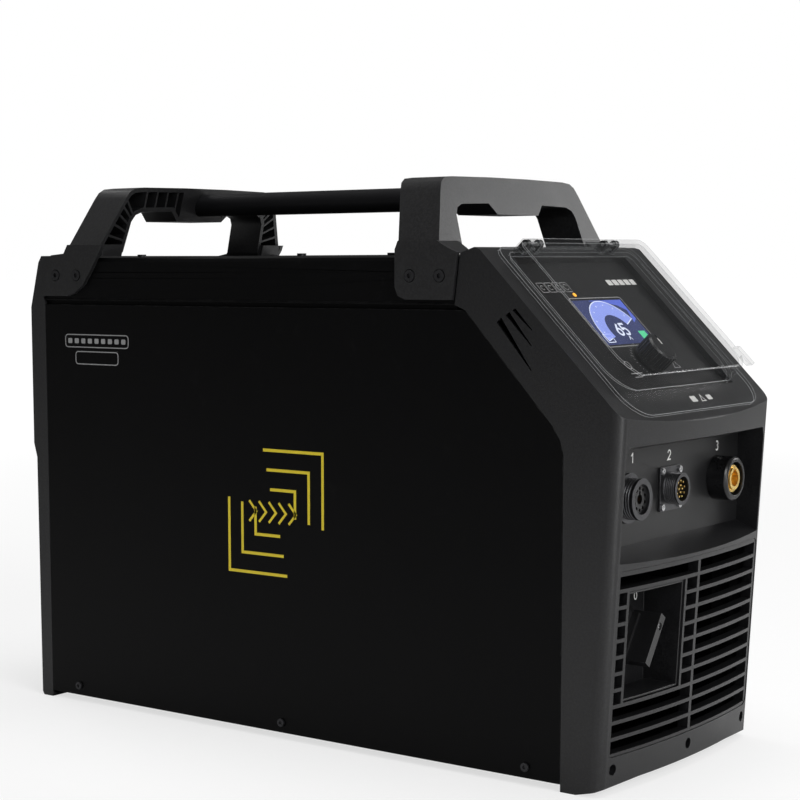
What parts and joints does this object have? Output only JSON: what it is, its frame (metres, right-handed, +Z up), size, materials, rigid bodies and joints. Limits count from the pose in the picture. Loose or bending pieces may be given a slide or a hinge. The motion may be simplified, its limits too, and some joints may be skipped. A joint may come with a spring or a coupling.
{
  "type": "plasma cutter power unit",
  "caption": "Free-standing plasma cutter power unit with carrying handles, hinged clear cover over the controls, sockets, main switch and rear fan.",
  "frame": {"origin": "centre of the outline at the level of the ground", "axes": "+Z up, the controls face -Y, the yellow mark is on the side panels at -X and +X"},
  "size_m": [0.2642, 0.6662, 0.483],
  "materials": {
    "panel_coat": "fine textured powder coat",
    "front_plastic": "spark-eroded moulded plastic",
    "handle_plastic": "fine moulded texture",
    "rear_plastic": "fine moulded texture",
    "tube_coat": "powder coat",
    "panel_print": "matt printed film",
    "screen_glass": "gloss",
    "clear_plastic": "clear moulded plastic",
    "knob_plastic": "matt",
    "socket_black": "moulded",
    "socket_metal": "dark plated",
    "contact_brass": "turned",
    "bright_steel": "zinc plated",
    "black_steel": "blackened",
    "chassis_zinc": "zinc plated sheet",
    "heat_alloy": "extruded",
    "board_green": "lacquered board",
    "can_sleeve": "shrink sleeve",
    "core_steel": "laminated",
    "winding_copper": "enamelled wire",
    "gland_black": "moulded"
  },
  "bodies": {
    "housing": {"base_pan": "panel_coat", "side_panel_left": "panel_coat", "side_panel_right": "panel_coat", "top_cover": "panel_coat", "front_bezel": "front_plastic", "rear_bezel": "rear_plastic", "front_handle": "handle_plastic", "rear_handle": "handle_plastic", "carry_tube": "tube_coat", "control_panel": "panel_print", "display_module": "board_green", "display_lens": "screen_glass", "encoder_body": "core_steel", "hinge_pins": "bright_steel", "connector_plate": "panel_print", "torch_ring_shell": "socket_metal", "torch_insert": "socket_black", "torch_contacts": "contact_brass", "data_shell": "socket_metal", "data_insert": "socket_black", "data_pins": "contact_brass", "work_housing": "socket_black", "work_contact": "contact_brass", "front_grille": "front_plastic", "switch_pocket": "front_plastic", "switch_body": "socket_black", "chassis_plate": "chassis_zinc", "heat_sink": "heat_alloy", "power_board": "board_green", "capacitors": "can_sleeve", "transformer": "core_steel", "windings": "winding_copper", "fan_frame": "socket_black", "fan_screws": "bright_steel", "rear_grille": "bright_steel", "cable_gland": "gland_black", "air_inlet": "contact_brass", "handle_screws": "black_steel", "cover_screws": "black_steel", "panel_screws": "black_steel", "bezel_screws": "black_steel", "flange_screws": "bright_steel"},
    "clear_cover": {"clear_cover": "clear_plastic"},
    "encoder_push": {"encoder_sleeve": "bright_steel"},
    "encoder_turn": {"encoder_shaft": "bright_steel", "encoder_knob": "knob_plastic"},
    "main_switch": {"switch_handle": "knob_plastic", "switch_screw": "bright_steel"},
    "fan": {"fan_rotor": "socket_black"}
  },
  "joints": [
    {"name": "cover_hinge", "type": "hinge", "parent": "housing", "child": "clear_cover", "pos_m": [0, -0.20417, 0.42705], "axis": [-1, 0, 0], "range_deg": [0, 105]},
    {"name": "knob_push", "type": "slide", "parent": "housing", "child": "encoder_push", "axis": [0, 0.7071, -0.7071], "range_m": [0, 0.0007], "stiffness_N_per_m": 1500, "springref_m": -0.001},
    {"name": "knob_turn", "type": "hinge", "parent": "encoder_push", "child": "encoder_turn", "pos_m": [-0.006, -0.28407, 0.33583], "axis": [0, -0.7071, 0.7071], "continuous": true},
    {"name": "switch_turn", "type": "hinge", "parent": "housing", "child": "main_switch", "pos_m": [-0.0625, -0.3049, 0.116], "axis": [0, 1, 0], "range_deg": [-70, 0]},
    {"name": "fan_spin", "type": "hinge", "parent": "housing", "child": "fan", "pos_m": [0, 0.2701, 0.125], "axis": [0, 1, 0], "continuous": true}
  ]
}
